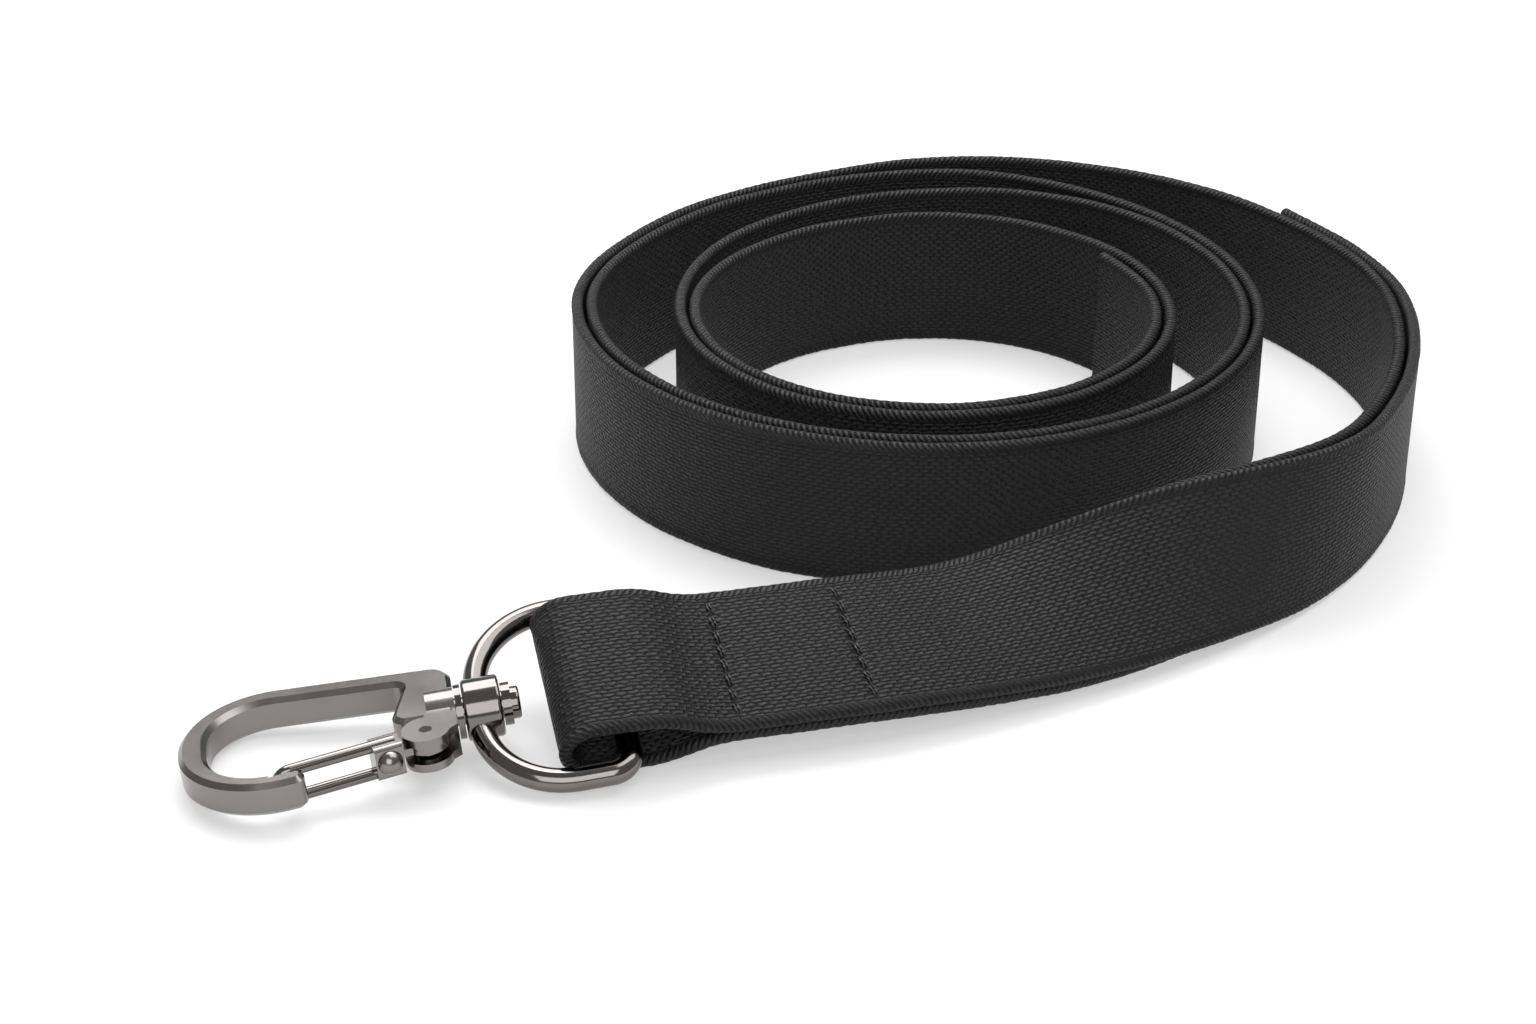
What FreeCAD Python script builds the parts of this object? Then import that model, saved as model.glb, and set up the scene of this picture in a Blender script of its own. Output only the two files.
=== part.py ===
"""Neck lanyard, coiled flat on its edge, with a swivel ring and a wire-gate snap hook.

One long woven strap is coiled on edge in four turns.  Its lead comes out of the coil, leans
over, folds round the bar of a D-shaped ring and comes back along itself.  Two sewn rows close
the fold.  A riveted post turns in the ring's boss and carries the hook.

Millimetres, +Z up.  The model is laid out round the coil's centre and then moved so that the
origin is the middle of its bounding box, on the floor.
"""
import FreeCAD
import Part
import os
from math import atan2, cos, degrees, radians, sin, sqrt, tan

V = FreeCAD.Vector

# ---------------------------------------------------------------- driving dimensions: strap
STRAP_WIDTH = 15.0
PLY = 1.1                    # thickness of one ply of woven strap
PITCH = 1.5                  # middle to middle of two plies that run side by side
SAMPLE = 15.0                # degrees of turn per arc of the coil

# Radius of the strap's middle about the coil's centre, at a turn in degrees from the lead:
# four turns of a single ply, which lie two by two except at the back.
MAIN_PLY = ((0, 47.3), (27, 45.2), (51, 43.0), (81, 39.4), (111, 35.2), (146, 34.3),
            (180, 35.4), (263, 33.8), (360, 33.7), (400, 34.2), (425, 35.0), (441, 35.4),
            (471, 33.2), (506, 32.7), (540, 33.9), (623, 32.2), (720, 32.2), (760, 32.3),
            (785, 31.2), (810, 28.7), (835, 26.7), (865, 25.3), (900, 24.9), (983, 27.1),
            (1080, 24.6), (1115, 23.7), (1145, 22.8), (1170, 22.0), (1195, 21.4),
            (1225, 21.8), (1260, 23.3), (1343, 25.5), (1440, 23.1), (1470, 22.2))
# The end that comes back from the ring lies outside the first turn for a short way.
TAIL_PLY = ((0, 48.8), (15, 47.8), (30, 46.5))

# The lead's lower edge: (bend radius, turn in degrees), then a straight run to the fold.
LEAD_BENDS = ((55.5, 51.0), (103.0, 25.0))
LEAD_STRAIGHT = 18.3         # from the last bend to the fold's axis
LEAN_FROM, LEAN_TO = 30.0, 80.0      # the lead leans over between these lengths
LEAN = 21.0                  # the leaning strap's slope, in degrees
RISE_FROM, RISE_TO, RISE = 60.0, 92.0, 1.76   # its lower edge lifts off the floor
CLOSE_FROM, CLOSE_TO = 62.0, 78.0    # the two plies come together
CLOSED = PLY + 0.15          # ply pitch where they are sewn

FOLD_RADIUS = 2.6            # middle of the ply where it turns round the bar
FOLD_TAPER = 12.3            # from the fold's axis to the first sewn row
FOLD_LEVEL = 3.8             # the tunnel's walls stay level this far from its axis
ROW_STEP = 12.1              # from the first sewn row to the second

# ---------------------------------------------------------------- driving dimensions: stitches
STITCHES = 8
STITCH_LENGTH = 1.15
STITCH_PITCH = 1.58
THREAD = 0.42                # thread diameter
THREAD_SINK = 0.13           # how far a stitch beds into the weave

# ---------------------------------------------------------------- driving dimensions: ring
WIRE = 2.1                   # ring wire diameter
RING_HALF = 9.0             # half width between the wire's middles
RING_BAR = -11.4             # bar's place along the swivel axis, from the boss's middle
RING_CORNER = 1.7            # bend between the bar and the bow
RING_TOP = 0.4               # the bow's far side, past the boss's middle
RING_BOW = 7.3               # radius of the bow's two bends
BOSS_R, BOSS_HALF = 2.65, 1.6
BOSS_BREAK = 0.3             # rounding of the boss's two rims
BORE_R = 1.25
POST_R = 1.2
BUTTON = ((1.85, 0.75), (1.4, 0.75))    # two-step head: (radius, length)
CROWN_BREAK = 0.25           # rounding of the head's outer rim
SHANK_IN_HOOK = 1.6          # the shank is riveted this deep in the hook's base
WASHER_R, WASHER_T = 2.35, 0.55
GAP = 0.08                   # running gap between turning faces

RING_SLOPE = -6.3            # swivel axis below the strap's plane, in degrees
RING_SKEW = 1.5              # swivel axis across the strap, in degrees
BAR_FROM_FOLD = 3.0          # bar's middle behind the fold's axis
BAR_DROP = 0.55              # the bar lies low in the tunnel
BAR_ASIDE = -0.12            # ring's middle beside the strap's middle

# ---------------------------------------------------------------- driving dimensions: hook
HOOK_T = 3.0                 # thickness of the hook's plate
EDGE = 0.42                  # broken edge
HOOK_ROLL = 24.0             # the hook lies flatter than the ring, in degrees
NECK = BOSS_HALF + GAP + WASHER_T + GAP      # where the hook's base begins
BASE_R, BASE_LENGTH = 2.2, 2.4       # round base that the post is riveted in
PIN_AT = (5.0, -4.6)         # hinge pin in the hook's plane: along the axis, across it
PIN_R = 0.55
EAR_R = 2.05
EAR_T = 0.75
KNUCKLE_R = 1.8              # gate's knuckle round the pin
GATE_ANGLE = -12.0           # direction of the closed gate in the hook's plane
BLOCK = (2.4, 2.4)           # thumb block: along the gate, across it
BLOCK_FROM = EAR_R + 0.3     # pin to the block
BLOCK_BREAK = 0.35           # rounding of the block's long edges
TONGUE = 2.0                 # width of the bridge from the knuckle to the block
THUMB_R = 1.1                # raised dome for the thumb
SEAT_GAP = 0.1               # bail to its notch in the hook's tip
GATE_REACH = 12.9            # pin to the bail's nose
BAIL_R = 0.52                # bail wire radius
BAIL_HALF = 1.25             # bail legs above and below the middle plane
BAIL_IN_BLOCK = 0.4          # block's near face to the legs' ends
SEAT = (4.5, 4.0, 6.0)       # notch in the hook's tip: along the gate, across it, through
SPRING_WIRE, SPRING_R, SPRING_PITCH = 0.24, 0.9, 0.2


# ---------------------------------------------------------------- small tools
def unit(v):
    return v * (1.0 / v.Length)


def smooth(x, lo, hi):
    """0 before lo, 1 after hi, with level ends."""
    f = min(1.0, max(0.0, (x - lo) / (hi - lo)))
    return f * f * (3.0 - 2.0 * f)


def frame(origin, x_dir, y_dir):
    """Placement whose X and Y run along x_dir and y_dir."""
    x = unit(x_dir)
    z = unit(x.cross(y_dir))
    y = z.cross(x)
    m = FreeCAD.Matrix(x.x, y.x, z.x, origin.x, x.y, y.y, z.y, origin.y,
                       x.z, y.z, z.z, origin.z, 0, 0, 0, 1)
    return FreeCAD.Placement(m)


def fuse(shapes):
    whole = shapes[0].multiFuse(shapes[1:]) if len(shapes) > 1 else shapes[0]
    return whole.removeSplitter()


def line(a, b):
    return Part.LineSegment(V(*a), V(*b)).toShape()


def arc(a, mid, b):
    return Part.Arc(V(*a), V(*mid), V(*b)).toShape()


def tube(edges, radius):
    """Round wire swept along joined lines and arcs."""
    path = Part.Wire(edges)
    start = edges[0].valueAt(edges[0].FirstParameter)
    along = edges[0].tangentAt(edges[0].FirstParameter)
    ring = Part.Wire(Part.makeCircle(radius, start, along))
    return path.makePipeShell([ring], True, False)


def rod(start, along, radius, length):
    return Part.makeCylinder(radius, length, start, along)


# ---------------------------------------------------------------- the strap's course
def radius_at(stations, turn):
    """Radius between stations, as a cubic with level ends."""
    slopes = [0.0]
    for before, here, after in zip(stations, stations[1:], stations[2:]):
        slopes.append((after[1] - before[1]) / (after[0] - before[0]))
    slopes.append(0.0)
    for i in range(len(stations) - 1):
        (a, ra), (b, rb) = stations[i], stations[i + 1]
        if turn <= b:
            span = b - a
            t = (turn - a) / span
            return (ra * (1 + 2 * t) * (1 - t) ** 2 + slopes[i] * span * t * (1 - t) ** 2
                    + rb * t * t * (3 - 2 * t) - slopes[i + 1] * span * t * t * (1 - t))
    return stations[-1][1]


def coil_point(stations, turn, side):
    """Point on the coil's ply, moved to one side by half a thickness."""
    def at(angle):
        r = radius_at(stations, angle)
        return V(r * cos(radians(angle)), r * sin(radians(angle)), 0)
    last = stations[-1][0]
    ahead, behind = min(last, turn + 0.5), max(0.0, turn - 0.5)
    along = unit(at(ahead) - at(behind))
    if turn in (0, last):
        along = V(-sin(radians(turn)), cos(radians(turn)), 0)
    return at(turn) + V(along.y, -along.x, 0) * side


def coil_edges(stations, side):
    """Arcs along one face of one ply, from the lead inwards."""
    last = stations[-1][0]
    count = int(round(last / SAMPLE))
    step = last / count
    edges = []
    for i in range(count):
        stops = (i * step, (i + 0.5) * step, (i + 1) * step if i < count - 1 else last)
        a, mid, b = (coil_point(stations, turn, side) for turn in stops)
        edges.append(Part.Arc(a, mid, b).toShape())
    return edges


def ribbon(stations):
    """One ply of the coil, standing on edge."""
    half = PLY / 2
    caps = [Part.LineSegment(coil_point(stations, turn, half),
                             coil_point(stations, turn, -half)).toShape()
            for turn in (0, stations[-1][0])]
    loop = coil_edges(stations, half) + coil_edges(stations, -half) + caps
    wire = Part.Wire(Part.__sortEdges__(loop))
    return Part.Face(wire).extrude(V(0, 0, STRAP_WIDTH))


def lead_place(s):
    """Lower edge, direction of travel and across-strap direction at length s of the lead."""
    start = (MAIN_PLY[0][1] + TAIL_PLY[0][1]) / 2
    point, heading, left = V(start, 0, 0), -90.0, s
    for radius, turn in LEAD_BENDS:
        run = min(left, radius * radians(turn))
        centre = point + V(sin(radians(heading)), -cos(radians(heading)), 0) * radius
        heading -= degrees(run / radius)
        point = centre - V(sin(radians(heading)), -cos(radians(heading)), 0) * radius
        left -= run
    along = V(cos(radians(heading)), sin(radians(heading)), 0)
    point = point + along * left
    slope = radians(90.0 - (90.0 - LEAN) * smooth(s, LEAN_FROM, LEAN_TO))
    level = V(along.y, -along.x, 0)
    across = level * cos(slope) + V(0, 0, sin(slope))
    rise = (PITCH + PLY) / 2 * cos(slope) + RISE * smooth(s, RISE_FROM, RISE_TO)
    return point + V(0, 0, rise), along, across


LEAD_LENGTH = sum(radius * radians(turn) for radius, turn in LEAD_BENDS)
FOLD_AT = LEAD_LENGTH + LEAD_STRAIGHT
ROW_AT = (FOLD_AT - FOLD_TAPER, FOLD_AT - FOLD_TAPER - ROW_STEP)


def lead_section(s, low, high):
    """Closed rectangle across the lead, between two heights over its middle surface."""
    edge, along, across = lead_place(s)
    top = unit(across.cross(along))
    corners = [edge + top * low, edge + across * STRAP_WIDTH + top * low,
               edge + across * STRAP_WIDTH + top * high, edge + top * high]
    return Part.makePolygon(corners + corners[:1])


def lead():
    """The lead as two plies that lean over and meet, then one sewn stretch."""
    stops = [0.0, 10.0, 20.0, 30.0, 38.0, 46.0, 54.0, 62.0, 70.0, CLOSE_TO]
    plies = []
    for side in (1, -1):
        sections = []
        for s in stops:
            mid = side * (PITCH + (CLOSED - PITCH) * smooth(s, CLOSE_FROM, CLOSE_TO)) / 2
            sections.append(lead_section(s, mid - PLY / 2, mid + PLY / 2))
        plies.append(Part.makeLoft(sections, True, False))
    half = (CLOSED + PLY) / 2
    sewn = [lead_section(s, -half, half) for s in (CLOSE_TO, 82.0, 86.0, LEAD_LENGTH)]
    return plies + [Part.makeLoft(sewn, True, False)]


def fold_frame():
    """X away from the fold along the lead, Y across the strap, Z out of its upper face."""
    edge, along, across = lead_place(FOLD_AT)
    return frame(edge, along * -1, across)


def tunnel_side(wide, narrow, up):
    """One wall of the fold from its axis to the first sewn row: level, then an S bend."""
    run, fall = FOLD_TAPER - FOLD_LEVEL, wide - narrow
    radius = (run * run + fall * fall) / (4 * fall)
    quarter = atan2(fall, run)
    bow_x, bow_z = radius * sin(quarter), radius * (1 - cos(quarter))
    level_end = (FOLD_LEVEL, 0, up * wide)
    middle = (FOLD_LEVEL + run / 2, 0, up * (wide + narrow) / 2)
    row = (FOLD_TAPER, 0, up * narrow)
    return [line((0, 0, up * wide), level_end),
            arc(level_end, (FOLD_LEVEL + bow_x, 0, up * (wide - bow_z)), middle),
            arc(middle, (FOLD_TAPER - bow_x, 0, up * (narrow + bow_z)), row)]


def fold():
    """Straight sewn stretch and the tunnel round the ring's bar."""
    half, slit = (CLOSED + PLY) / 2, (CLOSED - PLY) / 2
    outer, inner = FOLD_RADIUS + PLY / 2, FOLD_RADIUS - PLY / 2
    body = tunnel_side(outer, half, 1) + tunnel_side(outer, half, -1) + [
        arc((0, 0, outer), (-outer, 0, 0), (0, 0, -outer)),
        line((FOLD_TAPER, 0, half), (LEAD_STRAIGHT, 0, half)),
        line((LEAD_STRAIGHT, 0, half), (LEAD_STRAIGHT, 0, -half)),
        line((LEAD_STRAIGHT, 0, -half), (FOLD_TAPER, 0, -half))]
    tunnel = tunnel_side(inner, slit, 1) + tunnel_side(inner, slit, -1) + [
        arc((0, 0, inner), (-inner, 0, 0), (0, 0, -inner)),
        line((FOLD_TAPER, 0, slit), (FOLD_TAPER, 0, -slit))]
    reach = V(0, STRAP_WIDTH, 0)
    outside, inside = (Part.Face(Part.Wire(Part.__sortEdges__(edges))).extrude(reach)
                       for edges in (body, tunnel))
    solid = outside.cut(inside)
    solid.Placement = fold_frame()
    return solid


def webbing_strap():
    return fuse([ribbon(MAIN_PLY), ribbon(TAIL_PLY)] + lead() + [fold()])


# ---------------------------------------------------------------- stitches
def stitch_row(s, top):
    """One sewn row on one face: bars of thread, half bedded in the weave."""
    edge, along, across = lead_place(s)
    up = unit(across.cross(along))
    face = (CLOSED + PLY) / 2 - THREAD_SINK + THREAD / 2
    first = STRAP_WIDTH / 2 - STITCH_PITCH * (STITCHES - 1) / 2
    bars = []
    for i in range(STITCHES):
        place = edge + across * (first + STITCH_PITCH * i) + up * (face if top else -face)
        spot = frame(place, across, along)
        bar = rod(V(-STITCH_LENGTH / 2, 0, 0), V(1, 0, 0), THREAD / 2, STITCH_LENGTH)
        bar.Placement = spot
        bars.append(bar)
    return Part.makeCompound(bars)


# ---------------------------------------------------------------- ring and swivel
def ring_frame():
    """X along the swivel axis towards the hook, Y along the bar; origin in the boss."""
    edge, along, across = lead_place(FOLD_AT)
    up = unit(across.cross(along))
    middle = (edge + across * (STRAP_WIDTH / 2 + BAR_ASIDE) - along * BAR_FROM_FOLD
              - up * BAR_DROP)
    axis = along * cos(radians(RING_SLOPE)) + up * sin(radians(RING_SLOPE))
    axis = axis * cos(radians(RING_SKEW)) + across * sin(radians(RING_SKEW))
    return frame(middle - axis * RING_BAR, axis, across)


def hook_frame():
    """The ring's frame rolled about the swivel axis."""
    roll = FreeCAD.Placement(V(0, 0, 0), FreeCAD.Rotation(V(1, 0, 0), HOOK_ROLL))
    return ring_frame().multiply(roll)


def swivel_ring():
    """D ring and its boss, one casting."""
    h, bar, c, top, b = RING_HALF, RING_BAR, RING_CORNER, RING_TOP, RING_BOW
    turn, bow = c * (1 - 1 / sqrt(2)), b * (1 - 1 / sqrt(2))
    edges = [line((bar, -h + c, 0), (bar, h - c, 0)),
             arc((bar, h - c, 0), (bar + turn, h - turn, 0), (bar + c, h, 0)),
             line((bar + c, h, 0), (top - b, h, 0)),
             arc((top - b, h, 0), (top - bow, h - bow, 0), (top, h - b, 0)),
             line((top, h - b, 0), (top, b - h, 0)),
             arc((top, b - h, 0), (top - bow, bow - h, 0), (top - b, -h, 0)),
             line((top - b, -h, 0), (bar + c, -h, 0)),
             arc((bar + c, -h, 0), (bar + turn, -h + turn, 0), (bar, -h + c, 0))]
    halves = [tube(edges[0:5], WIRE / 2), tube(edges[5:8], WIRE / 2)]
    boss = rod(V(-BOSS_HALF, 0, 0), V(1, 0, 0), BOSS_R, 2 * BOSS_HALF)
    boss = boss.makeFillet(BOSS_BREAK, [e for e in boss.Edges if e.Length > 3 * BOSS_R])
    bore = rod(V(-2 * BOSS_HALF, 0, 0), V(1, 0, 0), BORE_R, 4 * BOSS_HALF)
    return fuse(halves + [boss]).cut(bore)


def swivel_post():
    """Riveted post: two-step button inside the ring, shank through boss, washer and base."""
    (r1, l1), (r2, l2) = BUTTON
    back = -BOSS_HALF - GAP
    tip = back - l1 - l2
    head = rod(V(back - l1, 0, 0), V(1, 0, 0), r1, l1)
    crown = rod(V(tip, 0, 0), V(1, 0, 0), r2, l2)
    rim = [e for e in crown.Edges if e.BoundBox.XMax < tip + 0.01]
    crown = crown.makeFillet(CROWN_BREAK, rim)
    shank = rod(V(back, 0, 0), V(1, 0, 0), POST_R, NECK - back + SHANK_IN_HOOK)
    return fuse([head, crown, shank])


def swivel_washer():
    disc = rod(V(BOSS_HALF + GAP, 0, 0), V(1, 0, 0), WASHER_R, WASHER_T)
    return disc.cut(rod(V(0, 0, 0), V(1, 0, 0), BORE_R, NECK))


# ---------------------------------------------------------------- hook
def rounded(corners):
    """Closed outline through corners (x, y, radius), each rounded by a tangent arc."""
    count = len(corners)
    ends = []
    for i in range(count):
        here = V(corners[i][0], corners[i][1], 0)
        back = V(corners[i - 1][0], corners[i - 1][1], 0) - here
        ahead = V(corners[(i + 1) % count][0], corners[(i + 1) % count][1], 0) - here
        half_angle = back.getAngle(ahead) / 2
        radius = corners[i][2]
        cut = radius / tan(half_angle)
        middle = unit(unit(back) + unit(ahead)) * (radius / sin(half_angle) - radius)
        ends.append((here + unit(back) * cut, here + middle, here + unit(ahead) * cut))
    edges = []
    for i in range(count):
        edges.append(Part.Arc(*ends[i]).toShape())
        edges.append(Part.LineSegment(ends[i][2], ends[(i + 1) % count][0]).toShape())
    return Part.Wire(edges)


def plate(wire, low, high):
    """Flat plate between two heights from one closed outline."""
    solid = Part.Face(wire).extrude(V(0, 0, high - low))
    solid.translate(V(0, 0, low))
    return solid


def broken(solid, size):
    """Break the edges of a plate's two faces."""
    return solid.makeChamfer(size, [e for e in solid.Edges if e.BoundBox.ZLength < 1e-6])


def hook_outline():
    """Base, spine, bend and nose of the hook; X along the swivel axis."""
    return rounded([(NECK, -2.6, 0.5), (NECK, 5.9, 1.9), (25.6, 7.6, 7.9), (25.5, -10.3, 7.7),
                    (15.3, -8.9, 0.8), (15.2, -7.3, 0.6), (23.1, -7.4, 5.0),
                    (23.3, 5.5, 5.4), (6.3, 4.1, 0.8), (8.0, -2.6, 1.3)])


def at_pin(shape):
    """Move a shape drawn round the pin, X along the closed gate, to its place."""
    turn = FreeCAD.Rotation(V(0, 0, 1), GATE_ANGLE)
    place = FreeCAD.Placement(V(PIN_AT[0], PIN_AT[1], 0), turn)
    shape.Placement = place.multiply(shape.Placement)
    return shape


def bail_seat():
    """Room for the closed bail in the hook's tip, open towards the inside of the hook."""
    length, width, through = SEAT
    nose = GATE_REACH + BAIL_R + SEAT_GAP
    return at_pin(Part.makeBox(*SEAT, V(nose - length, -BAIL_R - SEAT_GAP, -through / 2)))


def hook_body():
    """Plate, round base and two ears that hold the gate's pin."""
    half = HOOK_T / 2
    body = broken(plate(hook_outline(), -half, half), EDGE)
    px, py = PIN_AT
    inside = -BASE_R                     # the webs start inside the plate
    ears = []
    for low in (-half, half - EAR_T):
        disc = rod(V(px, py, low), V(0, 0, 1), EAR_R, EAR_T)
        corners = [V(NECK, inside, 0), V(NECK, py, 0), V(px, py - EAR_R, 0), V(px, inside, 0)]
        web = plate(Part.makePolygon(corners + corners[:1]), low, low + EAR_T)
        ears += [disc, web]
    base = rod(V(NECK, 0, 0), V(1, 0, 0), BASE_R, BASE_LENGTH)
    solid = fuse([body, base] + ears)
    cuts = [rod(V(px, py, -half + EAR_T), V(0, 0, 1), EAR_R + 0.25, HOOK_T - 2 * EAR_T),
            rod(V(px, py, -HOOK_T), V(0, 0, 1), PIN_R, 2 * HOOK_T),
            rod(V(0, 0, 0), V(1, 0, 0), POST_R, NECK + SHANK_IN_HOOK),
            bail_seat()]
    for cut in cuts:
        solid = solid.cut(cut)
    return solid


def gate_block():
    """Thumb block: knuckle round the pin, and a body that grips the bail's legs."""
    low = -HOOK_T / 2 + EAR_T + GAP      # the knuckle takes the lower half between the ears
    length, width = BLOCK
    knuckle = rod(V(0, 0, low), V(0, 0, 1), KNUCKLE_R, -low)
    tongue = Part.makeBox(BLOCK_FROM + length / 4, TONGUE, -low, V(0, -TONGUE / 2, low))
    block = Part.makeBox(length, width, HOOK_T, V(BLOCK_FROM, -width / 2, -HOOK_T / 2))
    block = block.makeFillet(BLOCK_BREAK, [e for e in block.Edges if e.BoundBox.XLength > 1])
    thumb = Part.makeSphere(THUMB_R, V(BLOCK_FROM + length / 2, 0.2 - width / 2, 0))
    solid = fuse([knuckle, tongue, block, thumb])
    solid = solid.cut(rod(V(0, 0, -HOOK_T), V(0, 0, 1), PIN_R + 0.05, 2 * HOOK_T))
    for z in (BAIL_HALF, -BAIL_HALF):
        leg = rod(V(BLOCK_FROM + BAIL_IN_BLOCK, 0, z), V(1, 0, 0), BAIL_R, 2 * length)
        solid = solid.cut(leg)
    return at_pin(solid)


def gate_bail():
    """Bent wire: two legs in the block and a round nose that closes on the hook's tip."""
    start, z = BLOCK_FROM + BAIL_IN_BLOCK, BAIL_HALF
    end = GATE_REACH - BAIL_HALF
    edges = [line((start, 0, z), (end, 0, z)),
             arc((end, 0, z), (end + z, 0, 0), (end, 0, -z)),
             line((end, 0, -z), (start, 0, -z))]
    return at_pin(tube(edges, BAIL_R))


def gate_pin():
    return rod(V(PIN_AT[0], PIN_AT[1], -HOOK_T / 2), V(0, 0, 1), PIN_R, HOOK_T)


def gate_spring():
    """Torsion spring on the pin, beside the knuckle: two turns that touch."""
    low = (HOOK_T / 2 - EAR_T - SPRING_PITCH) / 2
    turns = [Part.makeTorus(SPRING_R, SPRING_WIRE / 2, V(0, 0, low + SPRING_PITCH * i))
             for i in (0, 1)]
    return at_pin(fuse(turns))


# ---------------------------------------------------------------- assembly
def build():
    """Every node's shape, round the coil's centre."""
    ring, hook = ring_frame(), hook_frame()
    nodes = {"webbing_strap": webbing_strap()}
    for number, s in enumerate(ROW_AT, 1):
        nodes["needle_thread_row_%d" % number] = stitch_row(s, True)
        nodes["bobbin_thread_row_%d" % number] = stitch_row(s, False)
    placed = [("swivel_ring", swivel_ring, ring), ("swivel_post", swivel_post, hook),
              ("swivel_washer", swivel_washer, hook), ("hook_body", hook_body, hook),
              ("gate_block", gate_block, hook), ("gate_bail", gate_bail, hook),
              ("gate_pin", gate_pin, hook), ("gate_spring", gate_spring, hook)]
    for name, make, place in placed:
        shape = make()
        shape.Placement = place.multiply(shape.Placement)
        nodes[name] = shape
    return nodes


def main():
    nodes = build()
    box = FreeCAD.BoundBox()
    for shape in nodes.values():
        box.add(shape.optimalBoundingBox(False))
    shift = V(-box.Center.x, -box.Center.y, -box.ZMin)
    os.makedirs("parts", exist_ok=True)
    for name, shape in nodes.items():
        shape.translate(shift)
        shape.exportStep("parts/%s.step" % name)
        print("%-22s solids %d valid %s volume %.1f low %.2f" % (
            name, len(shape.Solids), shape.isValid(), shape.Volume, shape.BoundBox.ZMin))
    ring, hook = ring_frame(), hook_frame()
    pin = hook.multVec(V(PIN_AT[0], PIN_AT[1], 0))
    print("size", box.XLength, box.YLength, box.ZLength, "shift", shift)
    print("ring hinge", ring.multVec(V(RING_BAR, 0, 0)) + shift, ring.Rotation.multVec(V(0, 1, 0)))
    print("swivel", ring.multVec(V(0, 0, 0)) + shift, ring.Rotation.multVec(V(1, 0, 0)))
    print("gate hinge", pin + shift, hook.Rotation.multVec(V(0, 0, 1)))


main()
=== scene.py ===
# %% [markdown]
# # A neck lanyard, coiled on its edge
#
# This lesson dresses a lanyard whose shape is already fixed by a CAD model: a flat woven
# strap, a D ring with a swivel, and a snap hook with a wire gate.  The CAD says where each
# piece is and how it moves.  Blender gives each piece its surface: the weave of the strap,
# the sewing thread, and four finishes of metal.
#
# The first cell loads the frame.  Every length below is written in millimetres, as a maker
# would say it, and is multiplied by MM to become Blender's metres.

# %% Load the frame and measure it
from math import cos, degrees, pi, radians, sin, sqrt

import bmesh
import bpy
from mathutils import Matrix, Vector, noise


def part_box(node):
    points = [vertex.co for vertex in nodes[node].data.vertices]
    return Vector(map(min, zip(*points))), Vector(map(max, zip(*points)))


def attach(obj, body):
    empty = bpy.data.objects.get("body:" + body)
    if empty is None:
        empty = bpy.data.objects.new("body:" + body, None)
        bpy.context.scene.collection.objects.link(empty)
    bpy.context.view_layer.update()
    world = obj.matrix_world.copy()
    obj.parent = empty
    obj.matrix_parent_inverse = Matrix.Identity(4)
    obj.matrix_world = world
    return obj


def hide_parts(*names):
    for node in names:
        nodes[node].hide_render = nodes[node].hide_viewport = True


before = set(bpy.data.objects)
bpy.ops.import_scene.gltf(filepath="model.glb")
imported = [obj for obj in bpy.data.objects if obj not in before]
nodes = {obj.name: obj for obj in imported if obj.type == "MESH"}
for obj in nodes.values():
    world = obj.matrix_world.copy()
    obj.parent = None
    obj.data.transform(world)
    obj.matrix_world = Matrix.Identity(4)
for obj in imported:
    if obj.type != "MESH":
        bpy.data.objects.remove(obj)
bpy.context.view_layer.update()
MM = 0.001

# %% [markdown]
# ## The strap's course
#
# The strap is one long piece of webbing, coiled on its edge in four turns that lie two by two
# except at the back.  Its outer end leans over, goes round the ring's bar and comes back
# along itself, and two sewn rows hold it there.
#
# A curve with a profile could make such a strap, but a curve twists its profile by its own
# rule.  The course is written here as points with a direction across the strap instead, so
# each twist and fold is where the maker wants it.

# %% The strap's sizes
STRAP_WIDTH = 15.0
PLY = 1.1
PITCH = 1.5                       # from one ply's middle to the next, side by side
CLOSED = PLY + 0.15               # the same, where they are sewn

# Radius of the strap about the coil's centre, at a turn in degrees from the lead.
MAIN_PLY = ((0, 47.3), (27, 45.2), (51, 43.0), (81, 39.4), (111, 35.2), (146, 34.3),
            (180, 35.4), (263, 33.8), (360, 33.7), (400, 34.2), (425, 35.0), (441, 35.4),
            (471, 33.2), (506, 32.7), (540, 33.9), (623, 32.2), (720, 32.2), (760, 32.3),
            (785, 31.2), (810, 28.7), (835, 26.7), (865, 25.3), (900, 24.9), (983, 27.1),
            (1080, 24.6), (1115, 23.7), (1145, 22.8), (1170, 22.0), (1195, 21.4),
            (1225, 21.8), (1260, 23.3), (1343, 25.5), (1440, 23.1), (1470, 22.2))
TAIL_PLY = ((0, 48.8), (15, 47.8), (30, 46.5))      # the end that comes back from the ring
LEAD_BENDS = ((55.5, 51.0), (103.0, 25.0))          # (bend radius, turn in degrees)
LEAD_STRAIGHT = 18.3
LEAN_FROM, LEAN_TO, LEAN = 30.0, 80.0, 21.0
RISE_FROM, RISE_TO, RISE = 60.0, 92.0, 1.76
CLOSE_FROM, CLOSE_TO = 62.0, 78.0
FOLD_RADIUS, FOLD_TAPER, FOLD_LEVEL = 2.6, 12.3, 3.8
ROW_STEP = 12.1

LEAD_LENGTH = sum(radius * radians(turn) for radius, turn in LEAD_BENDS)
FOLD_AT = LEAD_LENGTH + LEAD_STRAIGHT
ROW_AT = (FOLD_AT - FOLD_TAPER, FOLD_AT - FOLD_TAPER - ROW_STEP)
print("lead %.1f mm to the fold, sewn rows at %.1f and %.1f" % (FOLD_AT, *ROW_AT))

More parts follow.
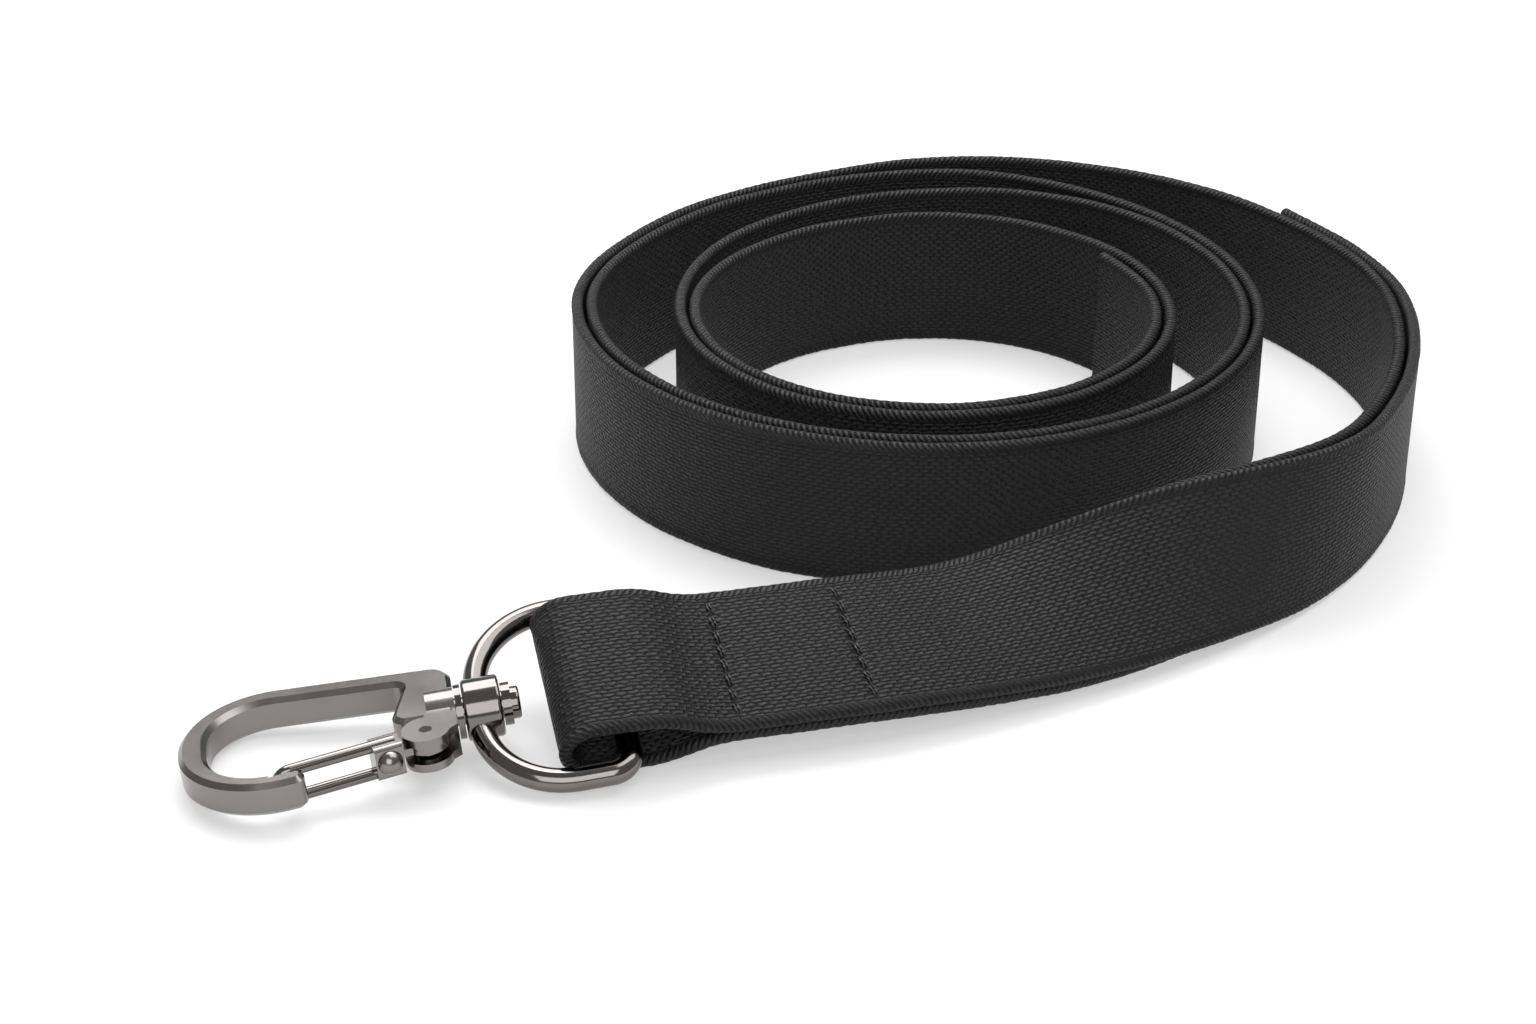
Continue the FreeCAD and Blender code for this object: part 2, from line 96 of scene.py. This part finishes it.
# %% [markdown]
# ## Following the strap
#
# Webbing has three kinds of stretch here.  In the coil it stands on its edge, and a radius
# for each turn says where it is.  In the lead it runs through two bends while it leans over
# towards the floor, so each place also needs the direction across the strap.  In the fold it
# goes round the ring's bar.  Each stretch gets a small function, and the strap is the
# stretches laid end to end.

# %% Where the strap is, at a turn of the coil or along the lead
def smooth(x, lo, hi):
    """0 before lo, 1 after hi, with level ends."""
    f = min(1.0, max(0.0, (x - lo) / (hi - lo)))
    return f * f * (3.0 - 2.0 * f)


def radius_at(stations, turn):
    """Radius at a turn: a smooth cubic through the stations, level at the first and last."""
    slopes = [0.0]
    for before, after in zip(stations, stations[2:]):
        slopes.append((after[1] - before[1]) / (after[0] - before[0]))
    slopes.append(0.0)
    for i in range(len(stations) - 1):
        (a, ra), (b, rb) = stations[i], stations[i + 1]
        if turn <= b:
            span = b - a
            t = (turn - a) / span
            return (ra * (1 + 2 * t) * (1 - t) ** 2 + slopes[i] * span * t * (1 - t) ** 2
                    + rb * t * t * (3 - 2 * t) - slopes[i + 1] * span * t * t * (1 - t))
    return stations[-1][1]


def lead_place(s):
    """Lower edge, direction of travel, and direction across the strap, along the lead."""
    start = (MAIN_PLY[0][1] + TAIL_PLY[0][1]) / 2
    point, heading, left = Vector((start, 0, 0)), -90.0, s
    for radius, turn in LEAD_BENDS:
        run = min(left, radius * radians(turn))
        side = Vector((sin(radians(heading)), -cos(radians(heading)), 0))
        centre = point + side * radius
        heading -= degrees(run / radius)
        side = Vector((sin(radians(heading)), -cos(radians(heading)), 0))
        point = centre - side * radius
        left -= run
    along = Vector((cos(radians(heading)), sin(radians(heading)), 0))
    point = point + along * left
    slope = radians(90.0 - (90.0 - LEAN) * smooth(s, LEAN_FROM, LEAN_TO))
    level = Vector((along.y, -along.x, 0))
    across = level * cos(slope) + Vector((0, 0, sin(slope)))
    rise = (PITCH + PLY) / 2 * cos(slope) + RISE * smooth(s, RISE_FROM, RISE_TO)
    return point + Vector((0, 0, rise)), along, across


def ply_height(s):
    """Half the distance between the two plies of the lead."""
    return (PITCH + (CLOSED - PITCH) * smooth(s, CLOSE_FROM, CLOSE_TO)) / 2


fold_edge = lead_place(FOLD_AT)[0]
print("the fold's lower edge is at", [round(x, 1) for x in fold_edge], "mm in the layout")

# %% The whole strap as points on its lower edge, from the inner end to the tail
COIL_STEP = 0.5                   # degrees between points of the coil
LEAD_STEP = 0.4                   # and millimetres between points of the lead
WALL_POINTS, BEND_POINTS = 50, 40

course = []                       # (point, across)


def follow_coil(stations, turns):
    """On edge round the coil, through the turns in the order they are given."""
    for turn in turns:
        r = radius_at(stations, turn)
        angle = radians(turn)
        course.append((Vector((r * cos(angle), r * sin(angle), 0)), Vector((0, 0, 1))))


def follow_lead(lengths, side):
    """Along the lead, as its lower ply (side -1) or the ply on top of it (side 1)."""
    for s in lengths:
        edge, along, across = lead_place(s)
        top = across.cross(along).normalized()
        course.append((edge + top * side * ply_height(s), across))


def follow_fold():
    """Under the bar, round it, and back over it, in the fold's own plane."""
    edge, along, across = lead_place(FOLD_AT)
    back, top = -along, across.cross(along).normalized()
    run, fall = FOLD_TAPER - FOLD_LEVEL, FOLD_RADIUS - CLOSED / 2
    bend = (run * run + fall * fall) / (4 * fall)

    def height(x):
        if x <= FOLD_LEVEL:
            return FOLD_RADIUS
        x -= FOLD_LEVEL
        if x <= run / 2:
            return FOLD_RADIUS - bend + sqrt(bend * bend - x * x)
        return CLOSED / 2 + bend - sqrt(bend * bend - (run - x) ** 2)

    stops = [FOLD_TAPER * (1 - i / WALL_POINTS) for i in range(WALL_POINTS + 1)]
    wall = [(x, -height(x)) for x in stops]
    turn = [(-FOLD_RADIUS * sin(pi * i / BEND_POINTS), -FOLD_RADIUS * cos(pi * i / BEND_POINTS))
            for i in range(1, BEND_POINTS)]
    for x, z in wall + turn + [(x, -z) for x, z in reversed(wall)]:
        course.append((edge + back * x + top * z, across))


inner_end, tail_end = (int(ply[-1][0] / COIL_STEP) for ply in (MAIN_PLY, TAIL_PLY))
follow_coil(MAIN_PLY, [i * COIL_STEP for i in range(inner_end, -1, -1)])
lead_stops = [i * LEAD_STEP for i in range(1, int(ROW_AT[0] / LEAD_STEP))]
follow_lead(lead_stops, -1)
follow_fold()
follow_lead(reversed(lead_stops), 1)
follow_coil(TAIL_PLY, [i * COIL_STEP for i in range(tail_end + 1)])

cut_length = sum((b[0] - a[0]).length for a, b in zip(course, course[1:]))
print("webbing: %.0f mm from %d points" % (cut_length, len(course)))

# %% [markdown]
# ## Even steps
#
# The points so far are close together in the fold and far apart in the coil.  The weave has to
# be the same size everywhere, so the course is walked again in even steps.  Each step keeps
# three directions: along the strap, across it, and straight out of its face.

# %% Even steps along the strap, each with its own directions
STEP = 0.36
REACH = 3                         # steps to each side that give the direction along
count = int(cut_length / STEP)
steps, travelled, k = [], 0.0, 0
gap = (course[1][0] - course[0][0]).length
for i in range(count + 1):
    target = cut_length * i / count
    while travelled + gap < target and k < len(course) - 2:
        travelled += gap
        k += 1
        gap = (course[k + 1][0] - course[k][0]).length
    f = (target - travelled) / gap
    steps.append((course[k][0].lerp(course[k + 1][0], f),
                  course[k][1].lerp(course[k + 1][1], f).normalized()))
frames = []
for i in range(count + 1):
    along = (steps[min(count, i + REACH)][0] - steps[max(0, i - REACH)][0]).normalized()
    point, across = steps[i]
    frames.append((point, across, along.cross(across).normalized()))

# The layout is round the coil's centre; the CAD's strap says how far to move it.
corners = [p + a * w + n * h for p, a, n in frames for w in (0, STRAP_WIDTH)
           for h in (-PLY / 2, PLY / 2)]
own_low = Vector([min(c[i] for c in corners) for i in range(3)])
own_high = Vector([max(c[i] for c in corners) for i in range(3)])
cad_low, cad_high = (Vector(c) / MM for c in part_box("webbing_strap"))
shift = ((cad_low + cad_high) - (own_low + own_high)) / 2
shift.z = cad_high.z - own_high.z
print(count, "steps; layout moved by", [round(x, 3) for x in shift], "mm; size off by",
      [round(x, 2) for x in (cad_high - cad_low) - (own_high - own_low)])

# %% [markdown]
# ## The camera, the floor and the light
#
# The camera looks down at the coil from low in front with a long lens, which keeps the coil's
# ellipses gentle.  The floor is pale and has no edge in view.  A small share of plain white,
# seen only by camera and reflections, lifts it to a clean background, while the rest of it is
# still matt paint that takes the soft shadow.

# %% The camera
def in_frame(x, y, z):
    """A place in the layout, as metres in the CAD's frame."""
    return (Vector((x, y, z)) + shift) * MM


camera_data = bpy.data.cameras.new("camera")
camera_data.lens = 67.97
camera_data.sensor_width = 36.0
camera_data.clip_start = 0.005
camera = bpy.data.objects.new("camera", camera_data)
camera.location = in_frame(-16, -271, 134)
camera.rotation_euler = (radians(62), 0, 0)
bpy.context.scene.collection.objects.link(camera)
bpy.context.scene.camera = camera
print("camera at", [round(x, 4) for x in camera.location])

# %% [markdown]
# ## Writing materials as sums
#
# A material's pattern is arithmetic: the distance across the cloth, divided by a yarn's width
# and rounded down, is the yarn's number.  Adding nodes by hand hides that.  A small class wraps
# a node's output and turns plain Python signs into Math nodes, and a second one adds every
# other kind of node through one method.

# %% A small class for shader maths
class Socket:
    """A node's output that can be added, multiplied and so on, like a number."""

    def __init__(self, finish, output):
        self.finish, self.output = finish, output

    def maths(self, operation, *values):
        return self.finish.node("Math", {"operation": operation}, dict(enumerate(values)))

    def __add__(self, other):
        return self.maths("ADD", self, other)

    __radd__ = __add__

    def __sub__(self, other):
        return self.maths("SUBTRACT", self, other)

    def __rsub__(self, other):
        return self.maths("SUBTRACT", other, self)

    def __mul__(self, other):
        return self.maths("MULTIPLY", self, other)

    __rmul__ = __mul__

    def __truediv__(self, other):
        return self.maths("DIVIDE", self, other)

    def __pow__(self, other):
        return self.maths("POWER", self, other)

    def __mod__(self, other):
        return self.maths("FLOORED_MODULO", self, other)

    def __abs__(self):
        return self.maths("ABSOLUTE", self)

    def floor(self):
        return self.maths("FLOOR", self)

    def least(self, other):
        return self.maths("MINIMUM", self, other)

    def ramp(self, lo, hi):
        """0 at lo, 1 at hi, with level ends."""
        return self.finish.node("MapRange", {"interpolation_type": "SMOOTHSTEP"},
                                {"Value": self, "From Min": lo, "From Max": hi})


class Finish:
    """One material, made node by node."""

    def __init__(self, name):
        self.material = bpy.data.materials.new(name)
        self.material.use_nodes = True
        self.tree = self.material.node_tree
        self.tree.nodes.clear()

    def node(self, kind, settings=None, sockets=None, out=0):
        """Adds a node: its settings first, then a value or a link for each socket."""
        node = self.tree.nodes.new("ShaderNode" + kind)
        for key, value in (settings or {}).items():
            setattr(node, key, value)
        for key, value in (sockets or {}).items():
            if isinstance(value, Socket):
                self.tree.links.new(value.output, node.inputs[key])
            else:
                node.inputs[key].default_value = value
        return Socket(self, node.outputs[out])

    def colour(self, factor, a, b):
        """Colour a turning to colour b."""
        return self.node("Mix", {"data_type": "RGBA"}, {0: factor, 6: a, 7: b}, out=2)

    def noise(self, vector, scale, detail=2.0, roughness=0.5):
        """Soft blotches: scale is how many to a unit of the vector."""
        return self.node("TexNoise", {}, {"Vector": vector, "Scale": scale,
                                          "Detail": detail, "Roughness": roughness})

    def end(self, shader):
        """Joins the shader to the surface and gives the material."""
        output = self.tree.nodes.new("ShaderNodeOutputMaterial")
        self.tree.links.new(shader.output, output.inputs["Surface"])
        return self.material


def grey(value, warmth=0.0):
    """A grey that leans to red, or to blue where warmth is under 0."""
    return (value * (1 + warmth), value, value * (1 - warmth), 1.0)


print("shader maths ready")

# %% The floor
FLOOR_LIFT = 0.45                 # share of plain white in what the camera sees
FLOOR_SIZE = 6.0                  # metres

floor_paint = Finish("pale floor")
seen = floor_paint.node("LightPath", out="Is Camera Ray")
seen = seen + floor_paint.node("LightPath", out="Is Glossy Ray")
seen = seen + floor_paint.node("LightPath", out="Is Transmission Ray")
matt = floor_paint.node("BsdfDiffuse", {}, {"Color": grey(0.86)})
glow = floor_paint.node("Emission", {}, {"Color": grey(1.0), "Strength": 1.0})
floor_material = floor_paint.end(floor_paint.node(
    "MixShader", {}, {0: seen.least(1.0) * FLOOR_LIFT, 1: matt, 2: glow}))

bpy.ops.object.select_all(action="DESELECT")
bpy.ops.mesh.primitive_plane_add(size=FLOOR_SIZE, location=(0, 0, 0))
floor = bpy.context.object
floor.name = "floor"
floor.data.materials.append(floor_material)
print("floor", tuple(round(x, 1) for x in floor.dimensions))

# %% The light
world = bpy.data.worlds.new("studio")
bpy.context.scene.world = world
world.use_nodes = True
sky = world.node_tree.nodes["Background"].inputs
sky["Color"].default_value = grey(0.9)
sky["Strength"].default_value = 0.35


def soft_lamp(name, place, target, size, power):
    """A square lamp at a place in the layout, turned to a target (metres, watts)."""
    data = bpy.data.lights.new(name, "AREA")
    data.size, data.energy = size, power
    lamp = bpy.data.objects.new(name, data)
    lamp.location = in_frame(*place)
    aim = in_frame(*target) - lamp.location
    lamp.rotation_euler = aim.to_track_quat("-Z", "Y").to_euler()
    bpy.context.scene.collection.objects.link(lamp)
    return lamp


key_lamp = soft_lamp("key softbox", (-120, 260, 420), (-10, -10, 0), 0.40, 2.6)
top_lamp = soft_lamp("top softbox", (150, 60, 480), (0, 0, 0), 0.45, 1.8)
front_lamp = soft_lamp("front fill", (-60, -460, 260), (-20, -30, 0), 0.35, 1.0)
bpy.context.scene.view_settings.view_transform = "Standard"
print("lamps:", key_lamp.name, top_lamp.name, front_lamp.name)

# %% [markdown]
# ## Weaving the strap's mesh
#
# One flat section is carried along the course: two faces 15 mm wide, and two rounded edges.
# The edges of a real webbing are a braided cord of their own, a little thicker than the middle,
# so the section has a shallow neck beside each edge.  A row of stitches pulls the plies
# together, so each sewn row presses a groove in both outer faces.
#
# The mesh is written point by point, because a strap this thin has no thickness to spare for a
# cloth simulation, which would melt the edges.

# %% The section
EDGE_BEAD = 0.56                  # half thickness of the braided edge
FACE_HALF = 0.52                  # half thickness of the woven face
NECK = 0.05                       # how far the neck beside an edge sinks

# From one edge to the middle: (distance across the strap, height above its middle plane).
half = [(0.09, 0.34), (0.36, EDGE_BEAD), (0.75, 0.54), (1.10, FACE_HALF - NECK),
        (1.50, FACE_HALF), (4.50, FACE_HALF), (7.50, FACE_HALF)]
top_face = half + [(STRAP_WIDTH - w, h) for w, h in reversed(half[:-1])]
low_face = [(w, -h) for w, h in reversed(top_face)]
section = [(0.0, 0.0)] + top_face + [(STRAP_WIDTH, 0.0)] + low_face
around = [0.0]
for (w0, h0), (w1, h1) in zip(section, section[1:] + section[:1]):
    around.append(around[-1] + sqrt((w1 - w0) ** 2 + (h1 - h0) ** 2))
print("section of %d points, %.1f mm round" % (len(section), around[-1]))

# %% Where the sewn rows press the cloth in
GROOVE, GROOVE_HALF = 0.22, 0.75  # a sewn row's depth and half width
PLIES_REACH, ROW_REACH = 2.0, 20.0    # only the two plies under a row are near it

row_places = []
for s in ROW_AT:
    edge, along, across = lead_place(s)
    row_places.append((edge, along, across.cross(along).normalized()))


def groove(point, normal):
    """How far a sewn row presses the outer face in, at a point of the ply."""
    deep = 0.0
    for edge, along, top in row_places:
        offset = point - edge
        if abs(offset.dot(top)) < PLIES_REACH and offset.length < ROW_REACH:
            away = abs(offset.dot(along)) / GROOVE_HALF
            if away < 1.0 and abs(normal.dot(top)) > 0.8:
                deep = max(deep, GROOVE * (1 + cos(pi * away)) / 2)
    return deep


print("row grooves at", [[round(x, 1) for x in edge] for edge, along, top in row_places])

# %% The ribbon
EDGE_BEAT = 1.1                   # from one bump of the braided edge to the next
EDGE_REACH = 1.2                  # how far from the edge the braid's unevenness reaches
EDGE_IN = 0.06                    # the braid is drawn in by this before it bumps out
BUMP_OUT, WANDER_OUT, FRAY_OUT = 0.05, 0.10, 0.04
RIPPLE = 0.03                     # slow waves of the whole face
ROW_INSET = 2.4                   # a sewn row's distance from the edges
END_SINK = 0.4                    # share of the groove that goes on past the row's ends

verts, faces = [], []
wide = len(section)
for i, (point, across, normal) in enumerate(frames):
    run = cut_length * i / count
    sink = groove(point, normal)
    for w, h in section:
        from_edge = min(w, STRAP_WIDTH - w)
        lower = w < STRAP_WIDTH / 2
        outward = -1.0 if lower else 1.0
        braid = 0.5 + 0.5 * sin(2 * pi * run / EDGE_BEAT + (0 if h > 0 else pi))
        wander = noise.noise(Vector((run * 0.13, 3.1 if lower else 8.7, 0)))
        fray = noise.noise(Vector((run * 1.7, 1.3 if lower else 5.9, 4.0)))
        slack = max(0.0, 1 - from_edge / EDGE_REACH)
        w += outward * slack * (BUMP_OUT * braid + WANDER_OUT * wander + FRAY_OUT * fray
                                - EDGE_IN)
        h *= 1 + BUMP_OUT * slack * braid
        if h > 0 and ROW_INSET < w < STRAP_WIDTH - ROW_INSET:
            h -= sink
        elif h > 0 and from_edge > 1.0:
            h -= sink * END_SINK
        ripple = RIPPLE * noise.noise(Vector((run * 0.5, w * 0.4, 9.0)))
        verts.append((point + across * w + normal * (h + ripple) + shift) * MM)
for i in range(count):
    for a in range(wide):
        b = (a + 1) % wide
        faces.append((i * wide + a, i * wide + b, (i + 1) * wide + b, (i + 1) * wide + a))
faces += [tuple(reversed(range(wide))), tuple(count * wide + a for a in range(wide))]
print("ribbon:", len(verts), "points,", len(faces), "faces")

# %% The strap's own map: millimetres round the section, and along the cloth
strap_mesh = bpy.data.meshes.new("strap")
strap_mesh.from_pydata(verts, [], faces)
layer = strap_mesh.uv_layers.new(name="cloth").data
for face in strap_mesh.polygons[:-2]:
    i, a = divmod(face.index, wide)
    for corner, (du, dv) in zip(face.loop_indices, ((0, 0), (1, 0), (1, 1), (0, 1))):
        layer[corner].uv = (around[a + du], cut_length * (i + dv) / count)
    face.use_smooth = True
for face in strap_mesh.polygons[-2:]:              # the two heat-cut ends
    for corner, a in zip(face.loop_indices, face.vertices):
        layer[corner].uv = section[a % wide]
strap = bpy.data.objects.new("woven_strap", strap_mesh)
bpy.context.scene.collection.objects.link(strap)
box = [[round(f(c[i] for c in verts) / MM, 2) for i in range(3)] for f in (min, max)]
print("strap:", len(faces) * 2, "triangles, box", box)

# Faces must point out of the cloth: a closed shell with a positive volume does.
shell = bmesh.new()
shell.from_mesh(strap_mesh)
print("strap volume %.0f mm3" % (shell.calc_volume(signed=True) / MM ** 3))
shell.free()

# %% [markdown]
# ## The weave
#
# Seen close, the face is rows of short dashes.  Each dash is one lengthwise yarn where it
# floats over the crossing ones, and neighbouring rows are half a dash apart, like bricks.  The
# edge is a braid: two rows of slanting strands that meet in arrows.
#
# An image could show this, but numbers do it better here: the strap's own map gives every
# point its distance across and along the cloth in millimetres, so a yarn is a sum on two
# numbers.  Its height drives the bump, and it also paints the colour: lighter on a yarn's
# raised top as a painted sheen, and darker in the gaps between yarns as painted shade.

# %% The webbing's material
YARN = 0.385                      # from one row of dashes to the next
FLOAT = 1.02                      # length of a dash and its gap
BRAID = 1.15                      # from one arrow to the next along the edge
BEAD_REACH = 1.32                 # half the braid's width, measured round the edge
BEAD_BLEND = 0.12                 # where the braid gives way to the weave
SLANT = 0.62                      # how far a strand runs on, for each step across the braid
YARN_WAVER, YARN_FUZZ = 0.42, 0.16    # how far a lengthwise yarn strays, slowly and finely
DASH_SHIFT, DASH_WAVER = 0.22, 0.7    # how far dashes are out of step with their neighbours
STRAND_FUZZ = 0.25

cloth = Finish("black webbing")
place = cloth.node("UVMap", {"uv_map": "cloth"})
wobble = cloth.noise(place, 0.9, 3.0, 0.6)
fine = cloth.noise(place, 2.6, 2.0)
u, v = (cloth.node("SeparateXYZ", {}, {"Vector": place}, out=axis) for axis in ("X", "Y"))

across_cloth = u + (wobble - 0.5) * YARN_WAVER + (fine - 0.5) * YARN_FUZZ
yarn_row = (across_cloth / YARN).floor()
in_row = (across_cloth / YARN) % 1.0 - 0.5
jitter = cloth.node("TexWhiteNoise", {"noise_dimensions": "1D"}, {"W": yarn_row})
along_cloth = (v / FLOAT + (yarn_row % 2.0) * 0.5 + jitter * DASH_SHIFT
               + (wobble - 0.5) * DASH_WAVER)
dash = along_cloth.floor()
in_dash = along_cloth % 1.0 - 0.5
yarn_round = 1.0 - (in_row * 2.0) ** 2.0
dash_round = 1.0 - abs(in_dash * 2.0) ** 3.0
weave = yarn_round * dash_round
tone = cloth.node("TexWhiteNoise", {"noise_dimensions": "2D"},
                  {"Vector": cloth.node("CombineXYZ", {}, {"X": yarn_row, "Y": dash})})

high_edge = abs(u - around[len(top_face) + 1])
low_edge = abs(u - around[-1]).least(abs(u))
edge_distance = high_edge.least(low_edge)
braided = edge_distance.ramp(BEAD_REACH, BEAD_REACH - BEAD_BLEND)
strand = (v / BRAID + edge_distance * SLANT + (fine - 0.5) * STRAND_FUZZ) * 2.0 % 1.0 - 0.5
braid_round = (1.0 - (strand * 2.0) ** 2.0) * (1.0 - (edge_distance / BEAD_REACH) ** 4.0)
height = weave * (1.0 - braided) + braid_round * braided

# Painted light: the colour is lighter where the yarn stands high, a painted sheen, and darker
# in the gaps, painted shade; the white noise per dash is the yarn's own random tone.
painted_sheen_shade_and_tone = height.ramp(0.15, 1.0) * (0.55 + tone * 0.6)
black = cloth.colour(painted_sheen_shade_and_tone.least(1.0), grey(0.0012), grey(0.0105, -0.01))
rough = 0.62 - height * 0.14
raised = cloth.node("Bump", {}, {"Height": height, "Distance": 0.16 * MM, "Strength": 1.0})
webbing = cloth.end(cloth.node("BsdfPrincipled", {}, {
    "Base Color": black, "Roughness": rough, "Normal": raised,
    "Sheen Weight": 0.01, "Sheen Roughness": 0.4, "Specular IOR Level": 0.30}))
strap_mesh.materials.append(webbing)

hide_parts("webbing_strap")
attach(strap, "strap")
print("webbing: %.2f mm rows, %.2f mm dashes" % (YARN, FLOAT))

# %% [markdown]
# ## The stitches
#
# A sewing machine leaves a row of short bars on each face, and each bar is a pair of twisted
# threads that dives into the weave at both ends.  One stitch is modelled, from a round bar that
# is thinned and bent down at its ends, and copied along the row.

# %% The thread
thread = Finish("black sewing thread")
spot = thread.node("TexCoord", out="Object")
twist = thread.node("TexWave", {"bands_direction": "DIAGONAL"},
                    {"Vector": spot, "Scale": 1300.0, "Distortion": 2.0, "Detail": 1.0})
thread_material = thread.end(thread.node("BsdfPrincipled", {}, {
    "Base Color": thread.colour(twist, grey(0.004), grey(0.022)),
    "Roughness": 0.42 + twist * 0.12, "Specular IOR Level": 0.45,
    "Normal": thread.node("Bump", {}, {"Height": twist, "Distance": 0.04 * MM})}))
print("made", thread_material.name)

# %% One stitch, made as a bent bar
STITCHES, STITCH_PITCH, STITCH_LENGTH = 8, 1.58, 1.5
THREAD_R = 0.13
THREAD_ASIDE = 0.14               # each of the two threads lies this far off the row's line
ROW_FACE = (CLOSED + PLY) / 2 - GROOVE + 0.14
RISE_OF_BAR, DIVE, THINNING, TWIST = 0.05, 0.34, 0.3, 0.06
LEAN_OF_STITCH = 0.10


def stitch_bar(offset):
    """One thread of a stitch: a bar along X that dives at both ends."""
    bpy.ops.object.select_all(action="DESELECT")
    bpy.ops.mesh.primitive_cylinder_add(vertices=8, radius=THREAD_R, depth=STITCH_LENGTH,
                                        rotation=(0, pi / 2, 0))
    bpy.ops.object.transform_apply(location=True, rotation=True, scale=True)
    bpy.ops.object.mode_set(mode="EDIT")
    bpy.ops.mesh.select_all(action="DESELECT")
    bar = bpy.context.object
    shape = bmesh.from_edit_mesh(bar.data)
    for edge in shape.edges:
        edge.select = abs(edge.verts[0].co.x - edge.verts[1].co.x) > STITCH_LENGTH / 2
    bmesh.update_edit_mesh(bar.data)
    bpy.ops.mesh.subdivide(number_cuts=8)
    bpy.ops.object.mode_set(mode="OBJECT")
    for vertex in bar.data.vertices:
        x = 2 * vertex.co.x / STITCH_LENGTH
        vertex.co.z += RISE_OF_BAR - DIVE * abs(x) ** 3
        vertex.co.y = vertex.co.y * (1 - THINNING * x * x) + offset + TWIST * x
    return bar


# %% Rows of stitches
def sewn_row(name, s, side, node):
    """A row of stitches on one face of the lead, standing for its CAD node."""
    edge, along, across = lead_place(s)
    top = across.cross(along).normalized() * side
    first = STRAP_WIDTH / 2 - STITCH_PITCH * (STITCHES - 1) / 2
    bars = [stitch_bar(THREAD_ASIDE), stitch_bar(-THREAD_ASIDE)]
    verts, faces = [], []
    for i in range(STITCHES):
        spot = edge + across * (first + STITCH_PITCH * i) + top * ROW_FACE
        for bar in bars:
            start = len(verts)
            for vertex in bar.data.vertices:
                x, y, z = vertex.co
                y += LEAN_OF_STITCH * x
                verts.append((spot + across * x + along * y + top * z + shift) * MM)
            faces += [tuple(start + k for k in face.vertices) for face in bar.data.polygons]
    for bar in bars:
        bpy.data.objects.remove(bar)
    mesh = bpy.data.meshes.new(name)
    mesh.from_pydata(verts, [], faces)
    mesh.shade_smooth()
    row_of_stitches = bpy.data.objects.new(name, mesh)
    bpy.context.scene.collection.objects.link(row_of_stitches)
    # A row on the lower face is a mirror image, which turns its faces inside out.
    fix = bmesh.new()
    fix.from_mesh(mesh)
    bmesh.ops.recalc_face_normals(fix, faces=fix.faces)
    fix.to_mesh(mesh)
    fix.free()
    mesh.materials.append(thread_material)
    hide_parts(node)
    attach(row_of_stitches, "strap")
    return row_of_stitches


for number, s in enumerate(ROW_AT, 1):
    for side, kind in ((1, "needle"), (-1, "bobbin")):
        made = sewn_row("%s_stitches_%d" % (kind, number), s, side,
                        "%s_thread_row_%d" % (kind, number))
        print(made.name, len(made.data.polygons), "faces")

# %% [markdown]
# ## The plated metal
#
# All the metal is die-cast zinc or steel under black nickel.  The hook's flat faces are satin,
# with the faint cloud that tumbling leaves.  The ring, the swivel and the gate's wire are
# bright, and the small spring is paler wire.  Two noises make each finish: a broad one for the
# cloud, and a fine one for the polish.

# %% One recipe for plated metal
def plated(name, colour, roughness, cloud, polish):
    """Black nickel over a tumbled casting; polish is the fine bump's height in mm."""
    metal = Finish(name)
    spot = metal.node("TexCoord", out="Object")
    broad = metal.noise(spot, 140.0, 3.0, 0.55)
    fine = metal.noise(spot, 1900.0, 2.0, 0.5)
    light = tuple(c * 1.12 for c in colour) + (1.0,)
    dark = tuple(c * 0.86 for c in colour) + (1.0,)
    return metal.end(metal.node("BsdfPrincipled", {}, {
        "Base Color": metal.colour(broad, dark, light), "Metallic": 1.0,
        "Roughness": roughness + (broad - 0.5) * cloud + (fine - 0.5) * 0.03,
        "Normal": metal.node("Bump", {}, {"Height": fine, "Distance": polish * MM})}))


satin = plated("satin gunmetal", (0.235, 0.215, 0.21), 0.23, 0.14, 0.0025)
bright = plated("bright gunmetal", (0.18, 0.165, 0.16), 0.12, 0.06, 0.0008)
polished = plated("polished gunmetal", (0.17, 0.157, 0.152), 0.09, 0.05, 0.0006)
spring = plated("spring wire", (0.36, 0.35, 0.35), 0.25, 0.08, 0.002)
print("metals:", satin.name, bright.name, polished.name, spring.name)

# %% Which piece wears which metal
wear = {"hook_body": satin, "gate_block": satin, "swivel_ring": bright, "gate_bail": bright,
        "swivel_post": polished, "swivel_washer": polished, "gate_pin": bright,
        "gate_spring": spring}
for name, material in wear.items():
    for slot in nodes[name].material_slots:
        slot.material = material
    print(name, "->", material.name, "in", len(nodes[name].material_slots), "slot")
